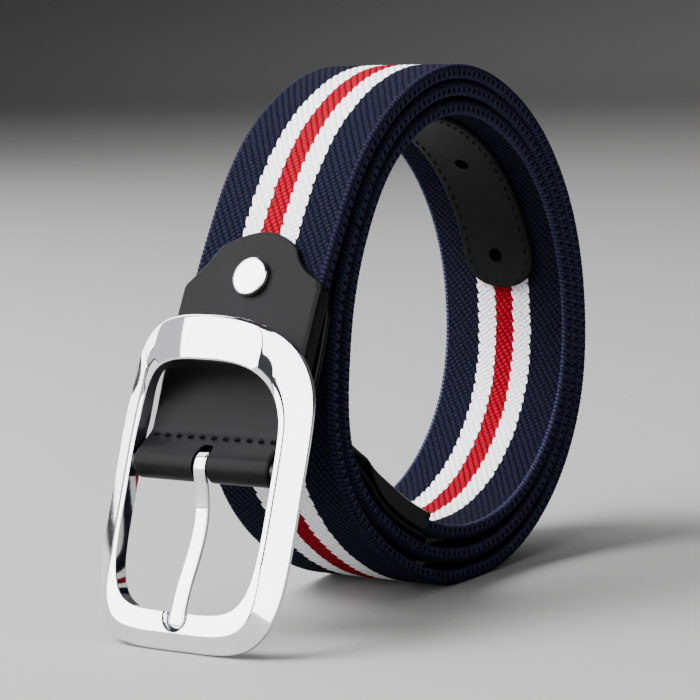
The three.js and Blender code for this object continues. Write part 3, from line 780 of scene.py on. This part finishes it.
def leather_strip(name, node, finish, line, half_at, thick, turned_at=None, shift=0.0):
    """A leather strip lying along a line. half_at gives its half width, or the left and the right one, and
    turned_at how far its margins are turned back, 0 to 1. Its section has the same number of points at each
    place, over the outer face and back over the inner one. The wall between them gets thin towards turned
    margins, and near a cut edge it is scaled by sqrt(1 - (1 - d/roll)^2), where d is the distance to the
    edge, so that every edge and both noses are rolled."""
    total = lengths(line)[-1]
    at = spacing(total)
    middle, side = spots_on(line, at)
    parts = FLAT_PARTS if turned_at is None else TURNED_PARTS
    share = np.concatenate([-parts[::-1], parts[1:]])
    left, right = np.broadcast_to(half_at(at, total), (2, len(at)))[:, :, None]
    half = np.where(share < 0, left, right)
    q = half * share
    turned = 0.0 if turned_at is None else turned_at(at)[:, None]
    x, n, lean = turned_place(q, turned)
    pared = np.clip((np.abs(q) - TURNED_HALF + TURNED_RADIUS + PARED_WIDTH) / PARED_WIDTH, 0, 1) * turned
    wall = thick + (TURNED_THICK - thick) * pared
    from_side = (half - np.abs(q)) / np.sqrt(1 + np.gradient(half, at, axis=0) ** 2)
    from_end = np.minimum(at, total - at)[:, None]
    rolled = dome(np.minimum(from_side, from_end) / (ROLL_SHARE * wall))
    out = np.stack([np.sin(lean), np.cos(lean)], -1) * (wall / 2)[:, :, None]
    core = np.stack([x, thick / 2 + n], -1) - out
    out = out * rolled[:, :, None]
    ring = np.concatenate([core + out, (core - out)[:, -2:0:-1]], 1)
    rings = carried(middle, side, ring[:, :, 0] + shift, ring[:, :, 1])
    return piece(name, merged(mesh_from_rings(name, rings)), (finish,), "belt", "leather", node)


def stitches(name, starts, stops, outs, thickness):
    """Stitches as small threads with a round section: each runs from a start to a stop, rises over the
    leather by a sine and dips into it at both ends. All are joined in one mesh of 8 rings by 6 points
    each."""
    t = np.linspace(0, 1, 8)
    hill = np.sin(np.pi * t)
    lift = hill * thickness * 0.5 - STITCH_SINK - (1 - hill) * thickness * 0.6
    radius = thickness / 2 * np.sin(np.pi * (0.06 + 0.88 * t)) ** 0.45
    run = (stops - starts)[:, None]
    outs = outs[:, None]
    cross = np.cross(unit(run), outs)
    centre = starts[:, None] + run * t[:, None] + outs * lift[:, None]
    angle = around(6)[:, None]
    ring = (cross[:, None] * np.cos(angle) + outs[:, None] * np.sin(angle)) * radius[:, None, None]
    points = (centre[:, :, None] + ring).reshape(-1, 3)
    s = np.arange(len(starts))[:, None, None] * 48
    i = np.arange(7)[:, None] * 6
    j = np.arange(6)
    k = (j + 1) % 6
    quads = np.stack([s + i + j, s + i + k, s + i + 6 + k, s + i + 6 + j], -1).reshape(-1, 4)
    turn = -1 if volume(points, quads) < 0 else 1
    ends = np.concatenate([s[:, 0] + j[::-1], s[:, 0] + 42 + j])
    faces = quads[:, ::turn].tolist() + ends[:, ::turn].tolist()
    piece(name, mesh_from_faces(name, points, faces), (THREAD,), "belt", "leather")


def tab_line():
    """Middle of the tab leather: down the web's front, round the bar and up its back, where it bows away
    from the web by 1.4 sin^2 between the rivet and the stitches."""
    along = np.arange(0, TAB_LENGTH + 0.01, 0.5)
    middle = tab_middle(along)
    front = beside(middle, TAB_LAYER)[along >= FRONT_NOSE_AT]
    bow = BACK_SLACK * np.sin(np.pi * np.maximum(along - RIVET_AT, 0) / (TAB_LENGTH - RIVET_AT)) ** 2
    back = beside(middle, -TAB_LAYER - bow)[(along >= BACK_NOSE_AT) & (along <= WEB_IN_TAB)][::-1]
    fold = round_bar(FOLD_RADIUS, *FOLD_ANGLES, 40)
    return softened(np.concatenate([front, fold, back]), reach=1.0, step=0.35)


def tab_half(at, total):
    """The tab's half width over its outer face: a pointed nose at each end, and turned margins in front,
    which narrow before the fold."""
    margin = 1 - smooth_step(at + FRONT_NOSE_AT, MARGIN_FROM, MARGIN_TO)
    half = LEATHER_HALF + (FRONT_HALF - LEATHER_HALF) * margin
    back = nose_half(total - at, half, BACK_NOSE_LENGTH, BACK_NOSE_POWER)
    return np.minimum(turned_nose(at, half, TAB_SLOPES), back)


def tab_turned(at):
    """1 where the tab's margins stand square to it, 0 round the bar and behind."""
    return 1 - smooth_step(at + FRONT_NOSE_AT, UNTURN_FROM, UNTURN_TO)


def slot_rings():
    """The slot for the prong, 4.1 mm wide: across the fold, with the outline of a rounded box, (2.05
    cos^0.45, 4.95 sin^0.45)."""
    y, z = BAR_PLACE + SLOT_MOVED
    cos, sin = np.cos(around(64)), np.sin(around(64))
    x = SLOT_HALF * np.sign(cos) * np.abs(cos) ** SLOT_POWER
    up = SLOT_TALL * np.sign(sin) * np.abs(sin) ** SLOT_POWER
    line = np.array([[y - SLOT_DEEP, z], [y + SLOT_DEEP, z]])
    return carried(line, np.array([[0.0, 1.0]]), x, up)


def build_tab():
    """The buckle tab with its slot, and the stitched line above the fold."""
    line = tab_line()
    tab = leather_strip("tab_leather", "buckle_tab", TAB_FINISH, line, tab_half, LEATHER_THICK, tab_turned)
    cut_out(tab, slot_rings())
    spot, out = spots_on(line, STITCHES_AT - FRONT_NOSE_AT)
    y, z = spot + out * LEATHER_THICK / 2
    middles = (np.arange(STITCH_COUNT) - STITCH_COUNT // 2) * STITCH_PITCH
    starts, stops = (np.stack(np.broadcast_arrays(middles + k, y, z + 0.25 * k), -1) for k in (-1.0, 1.0))
    stitches("tab_stitches", starts, stops, np.tile([0.0, *out], (STITCH_COUNT, 1)),
             thickness=0.85)


def strip_half(at, total):
    """The hole strip's half width, rounded at both ends."""
    return nose_half(np.minimum(at, total - at), STRIP_HALF, STRIP_NOSE, NOSE_POWER)


def strip_seam(line):
    """The hole strip's seam, on the face towards the coil's middle: stitches spread evenly by length over
    an outline that lies 1.7 mm inside the strip's own."""
    total = lengths(line)[-1]
    d = (1 - np.cos(np.linspace(0, np.pi, 600))) / 2 * (total - 2 * SEAM_INSET) + SEAM_INSET
    half = strip_half(d, total)
    half = np.maximum(half - SEAM_INSET * np.sqrt(1 + np.gradient(half, d) ** 2).clip(1, 2.2), 0)
    half[0] = half[-1] = 0
    outline = np.concatenate([np.stack([d, half], -1), np.stack([d, -half], -1)[::-1]])
    run = lengths(outline)[-1]
    count = int(run / SEAM_PITCH)
    middles = (np.arange(count) + 0.5) * run / count
    reach_of_one = 0.36 * SEAM_PITCH
    ends = read_at(outline, outline, np.stack([middles - reach_of_one, middles + reach_of_one]))
    places, outs = spots_on(line, ends[:, :, 0])
    starts, stops = np.concatenate([ends[:, :, 1:] + STRIP_SHIFT, places - outs * STRIP_THICK / 2], -1)
    up = -spots_on(line, ends[:, :, 0].mean(0))[1]
    stitches("strip_seam", starts, stops, np.pad(up, ((0, 0), (1, 0))), thickness=0.45)


def drill(owner, spot, out, radius, above, wall=0):
    """Cuts a round hole through a piece, from a height above the spot to 3 mm below it."""
    line = spot + np.outer([above, -3.0], out)
    side = np.array([[-out[1], out[0]]])
    angle = around(40)
    cut_out(owner, carried(line, side, radius * np.cos(angle), radius * np.sin(angle)), wall)


def build_strip(inner_turn):
    """The hole strip along the innermost turn, its seam, and the five holes through both: the first 8.5 mm
    from the strip's end, and the others every 28 mm."""
    line = inner_line(STRIP_FROM, 200.0, WEB_THICK / 2 + LAY_GAP + STRIP_THICK / 2)
    line = evenly(line[lengths(line) <= (HOLE_COUNT - 1) * HOLE_PITCH + 2 * HOLE_END], 0.4)
    strip = leather_strip("strip_leather", "hole_strip", STRIP_FINISH, line, strip_half, STRIP_THICK,
                          shift=STRIP_SHIFT)
    for spot, out in zip(*spots_on(line, HOLE_END + HOLE_PITCH * np.arange(HOLE_COUNT))):
        drill(strip, spot, out, HOLE_RADIUS, above=3.0)
        drill(inner_turn, spot, out, HOLE_RADIUS + 0.05, above=5.2, wall=SHADED_HOLE_WALL_NUMBER)
    strip_seam(line)


def tip_line(back):
    """Middle of the tip: back along the web, then a cubic curve to the coil's wall, then a little way up
    it."""
    along = WEB_LINE[WEB_SUM >= WEB_SUM[-1] - back]
    wall = inner_line(*TIP_WALL_ANGLES, WEB_THICK / 2 + TIP_WALL_GAP)
    p0, p3 = WEB_LINE[-1], wall[0]
    p1 = p0 + TIP_CURVE * unit(p0 - WEB_LINE[-2])
    p2 = p3 - TIP_CURVE * unit(wall[1] - p3)
    t = np.linspace(0, 1, 40)[1:-1, None]
    across = (1 - t) ** 3 * p0 + 3 * t * (1 - t) ** 2 * p1 + 3 * t**2 * (1 - t) * p2 + t**3 * p3
    return evenly(np.concatenate([along, across, wall]), 0.4)


def tip_from_middle(at, back):
    """Distance of a tip leather from the tip's middle: on the web's face, then closing smoothly to
    contact."""
    apart = WEB_THICK / 2 + LAY_GAP + TIP_LEATHER / 2
    together = LAY_GAP / 2 + TIP_LEATHER / 2 + 0.05
    close_from = back + TIP_CLOSE_FROM
    return apart + (together - apart) * smooth_step(at, close_from, close_from + TIP_CLOSE)


def tip_leather_line(side, back):
    """One tip leather's middle, beside the tip's middle."""
    line = tip_line(back)
    return softened(beside(line, side * tip_from_middle(lengths(line), back)), reach=1.5, step=0.4)


def tip_outer_half(at, total):
    """Half width of the outer tip leather: a rounded nose at each end."""
    return np.minimum(nose_half(at, LEATHER_HALF, TIP_OUTER_BACK * 0.9, NOSE_POWER),
                      nose_half(total - at, LEATHER_HALF, TIP_NOSE, NOSE_POWER))


def tip_inner_half(at, total):
    """Half width of the inner tip leather over its outer face: its turned margins reach down to the other
    leather, so they get shorter where the two close up."""
    depth = 2 * tip_from_middle(at, TIP_INNER_BACK) - TIP_MARGIN_GAP
    half = TURNED_HALF - TURNED_RADIUS + TURNED_RADIUS * np.pi / 2 + depth - TURNED_RADIUS
    return np.minimum(turned_nose(at, half, TIP_SLOPES), nose_half(total - at, half, TIP_NOSE, NOSE_POWER))


def build_tip():
    """The two leathers of the tip; the inner one has turned margins."""
    leather_strip("tip_leather_outer", "tip_front", TIP_FINISH, tip_leather_line(-1, TIP_OUTER_BACK),
                  tip_outer_half, TIP_LEATHER)
    leather_strip("tip_leather_inner", "tip_back", TIP_FINISH, tip_leather_line(1, TIP_INNER_BACK),
                  tip_inner_half, TIP_LEATHER, np.ones_like)


# Metal

def metal_piece(name, rings, body, *nodes, finish=CHROME, looped=False):
    """A piece of metal made from its rings."""
    return piece(name, mesh_from_rings(name, rings, looped), (finish,), body, "bright_metal", *nodes)


def reach(cos, sin, half, height, power):
    """How far a rounded outline lies along a ray: (|cos/half|^power + |sin/height|^power)^(-1/power)."""
    return (np.abs(cos / half) ** power + np.abs(sin / height) ** power) ** (-1 / power)


def arch_lift(x, s):
    """How far the arch stands out: 8.5 (1 - (x/24.5)^2), coming in smoothly between s = 48 and 64."""
    over = np.maximum(1 - (x / (FRAME_HALF - 0.6)) ** 2, 0)
    return ARCH_RISE * over * smooth_step(s, ARCH_FROM, ARCH_TO)


def rounded_profile(corners, radii, steps):
    """A closed polygon with rounded corners: near each corner, a curve of the second degree between two
    points at the radius's distance along its sides."""
    corners = np.asarray(corners, float)
    radii = np.asarray(radii, float)[:, None]
    a, b = (corners + unit(np.roll(corners, k, 0) - corners) * radii for k in (1, -1))
    t = np.linspace(0, 1, steps)[:, None]
    curve = (1 - t) ** 2 * a[:, None] + 2 * t * (1 - t) * corners[:, None] + t**2 * b[:, None]
    return curve.reshape(-1, 2)


def frame_hoop():
    """The frame: at each of 480 rays from its middle, a section from the window's edge to the outer edge.
    Both edges are rounded outlines with their own powers in the upper and lower half; the section is nearly
    flat from the window to the ridge and then falls to the outer edge, and the arch lifts it. The ridge
    runs near the window along the rails, and crosses to the outer edge where |cos| falls from 0.6 to 0.36,
    at both ends of the arch; its rounding there grows by 13 crest (1 - crest), as far as the section has
    room."""
    ray = around(FRAME_RAYS) + np.pi / FRAME_RAYS
    cos, sin = np.cos(ray), np.sin(ray)
    up = sin > 0
    inner = np.where(up, reach(cos, sin, WINDOW_HALF, WINDOW_TOP - FRAME_MIDDLE, 3.8),
                     reach(cos, sin, WINDOW_HALF, FRAME_MIDDLE - WINDOW_FOOT, 4.8))
    outer = np.where(up, reach(cos, sin, FRAME_HALF, FRAME_LENGTH - FRAME_MIDDLE, 3.2 + 1.2 * cos * cos),
                     reach(cos, sin, FRAME_HALF, FRAME_MIDDLE, 4.5))
    arch = smooth_step(FRAME_MIDDLE + sin * inner, ARCH_FROM, ARCH_TO)
    crest = np.where(up, smooth_step(np.abs(cos), 0.6, 0.36), 0.0)
    width = outer - inner
    ridge = RAIL_RIDGE + (ARCH_RIDGE - RAIL_RIDGE) * arch
    edge = RAIL_EDGE + (ARCH_EDGE - RAIL_EDGE) * arch
    turn = (0.2 + 0.74 * crest + 0.39 * smooth_step(-sin, 0.62, 0.92)) * width
    room = np.hypot(width - turn, ridge - RIDGE_FALL - edge) - 0.37
    bend = np.minimum(0.45 + 13.0 * crest * (1 - crest), room)
    rings = np.array([
        rounded_profile([(0, 0), (0, r), (t, r - RIDGE_FALL), (w, e), (w, 0)],
                        [0.35, 0.45, b, 0.35, 0.25], 10)
        for w, r, e, t, b in zip(width, ridge, edge, turn, bend)
    ])
    along = inner[:, None] + rings[:, :, 0]
    x = along * cos[:, None]
    s = FRAME_MIDDLE + along * sin[:, None]
    return frame_place(x, s, rings[:, :, 1] + arch_lift(x, s))


def notch_rings():
    """The notch in the foot that the prong lies in: a trough with a round lower end, wider at the frame's
    face. Its outline is a half circle that goes on as two straight sides, at six heights."""
    angle = np.radians(np.linspace(180, 360, 25))
    rings = []
    for n, half in ((1.1, 1.6), (1.3, 2.2), (2.2, 2.7), (3.4, 3.0), (4.2, 3.5), (7.0, 4.2)):
        x = np.append(half * np.cos(angle), [half, -half])
        s = np.append(NOTCH_FOOT + half * np.sin(angle), [NOTCH_TOP, NOTCH_TOP])
        rings.append(frame_place(x, s, n))
    return np.array(rings)


def build_frame():
    """The chrome frame, cut for the prong, and the hidden bar, a round rod across the window into both
    rails."""
    hoop = metal_piece("chrome_frame", frame_hoop(), "frame", "buckle_frame", looped=True)
    cut_out(hoop, notch_rings())
    y, z = round_bar(BAR_RADIUS, 0, 360, 41)[:-1].T
    ends = np.array([[-1.0], [1.0]]) * (WINDOW_HALF + 2.0)
    metal_piece("frame_bar", np.stack(np.broadcast_arrays(ends, y, z), -1), "frame", finish=SHADED_BAR_METAL)


def prong_line():
    """The prong's middle line in the plane across the bar: three quarters round the bar, then down to the
    foot in a shallow bow and into the notch."""
    s = np.array([34.4, 31.0, 27.5, 23.5, 19.0, 14.5, 10.0, 7.0, 4.6])
    n = np.array([1.3, 0.15, -0.3, -0.1, 0.7, 1.7, 2.3, 2.4, 2.4])
    stem = frame_place(0.0, s, n)[:, 1:]
    return softened(np.concatenate([round_bar(EYE_RADIUS, *EYE_ANGLES, 50), stem]), reach=1.1, step=0.3)


def build_prong():
    """The prong: a rounded flat section carried along its line, a little wider towards the tip, which is
    rounded."""
    line = prong_line()
    at = lengths(line)[:, None]
    left = at[-1] - at
    corners = [(-1, -1), (1, -1), (1, 0.1), (0.55, 1), (-0.55, 1), (-1, 0.1)]
    x, n = rounded_profile(corners, [0.35, 0.35, 0.5, 0.45, 0.45, 0.5], 8).T
    ends = dome(left / PRONG_HALF, least=0.02) * dome(at / 0.8, least=0.05)
    half = PRONG_HALF * (0.8 + 0.25 * at / at[-1]) * ends
    thick = PRONG_HALF_THICK * dome(left / 0.9, least=0.04)
    metal_piece("chrome_prong", carried(line, fronts(line), half * x, -thick * n), "prong", "prong")


def build_rivet():
    """The rivet: its section turned round its own axis, a cap, a shank and a flat head with a small
    bevel."""
    back = TAB_LAYER + LEATHER_THICK / 2
    face = back + LAY_GAP
    rim = np.radians(np.linspace(-90, 0, 6))
    bevel = np.radians(np.linspace(0, 90, 8))
    r = np.concatenate([[0.02, RIVET_CAP - 0.4, RIVET_CAP, RIVET_CAP, RIVET_SHANK, RIVET_SHANK],
                        RIVET_HEAD - RIVET_ROUND * (1 - np.cos(rim)),
                        RIVET_HEAD - RIVET_BEVEL * (1 - np.cos(bevel)), [3.0, 2.0, 1.0, 0.02]])
    n = np.concatenate([[-back, -back, 0.15 - back, 0.6 - back, 0.6 - back, face],
                        face + RIVET_ROUND * (1 + np.sin(rim)), face + 0.95 + 0.4 * np.sin(bevel),
                        [face + 1.38, face + 1.4, face + 1.41, face + 1.41]])
    y, z = unit(tab_middle(RIVET_AT + 0.5) - tab_middle(RIVET_AT - 0.5))
    angle = around(64)[:, None]
    flat = np.cos(angle) * np.array([1.0, 0.0, 0.0]) + np.sin(angle) * np.array([0.0, y, z])
    rings = [0.0, *tab_middle(RIVET_AT)] + r[:, None, None] * flat + n[:, None, None] * np.array([0.0, z, -y])
    metal_piece("chrome_rivet", rings, "belt", "tab_rivet")


# Studio

def build_studio():
    """A pale floor that curves up far behind, soft lights, each seen either only in reflections or only as
    diffuse light, and a faint even light from all round."""
    half = 6000.0
    line = np.array([[-half, 0.0], [2600.0, 0.0], [3400.0, 250.0], [3900.0, 900.0], [4050.0, 3600.0]])
    line = softened(line, reach=160.0, step=60.0)
    points = np.stack(np.broadcast_arrays([-half, half], line[:, :1], line[:, 1:]), -1)
    i = np.arange(len(line) - 1) * 2
    mesh = mesh_from_faces("floor", points, np.stack([i, i + 1, i + 3, i + 2], -1).tolist())
    mesh.materials.append(Sheet("pale_floor").finish(Base_Color=(0.235, 0.235, 0.231, 1.0), Roughness=0.75))
    in_scene("floor", mesh)

    aim = np.array([0.0, -0.03, 0.05])
    lights = (
        # name, bearing from straight in front, height angle, distance, width, height, power,
        # and whether it is seen only in reflections
        ("far_left_shine", -114.0, 28.0, 1.6, 0.9, 1.7, 24.0, True),
        ("left_shine", -75.5, 30.0, 1.6, 1.34, 1.85, 6.0, True),
        ("front_shine", -29.0, 30.0, 1.6, 1.74, 1.85, 72.0, True),
        ("right_shine", 51.5, 26.0, 1.6, 1.6, 1.7, 54.0, True),
        ("left_light", -75.0, 30.0, 1.6, 1.4, 1.6, 34.0, False),
        ("front_light", -20.0, 36.0, 1.6, 1.6, 1.6, 44.0, False),
        ("key", -50.0, 54.0, 1.6, 0.8, 0.8, 80.0, False),
        ("top", -20.0, 80.0, 1.5, 1.2, 1.2, 8.0, False),
    )
    for name, bearing, rise, distance, width, height, power, reflected in lights:
        data = bpy.data.lights.new(name, "AREA")
        data.shape = "RECTANGLE"
        data.size = width
        data.size_y = height
        data.energy = power
        light = in_scene(name, data)
        side, up = np.radians([bearing, rise])
        away = np.array([np.sin(side) * np.cos(up), -np.cos(side) * np.cos(up), np.sin(up)])
        light.location = aim + away * distance
        light.rotation_euler = Vector(-away).to_track_quat("-Z", "Y").to_euler()
        light.visible_diffuse = not reflected
        light.visible_glossy = reflected
    world = bpy.data.worlds.new("room")
    world.use_nodes = True
    background = world.node_tree.nodes["Background"]
    background.inputs["Color"].default_value = (0.95, 0.97, 1.0, 1.0)
    background.inputs["Strength"].default_value = 0.06
    bpy.context.scene.world = world


inner_turn = build_web()
build_tab()
build_strip(inner_turn)
build_tip()
build_frame()
build_prong()
build_rivet()
build_studio()
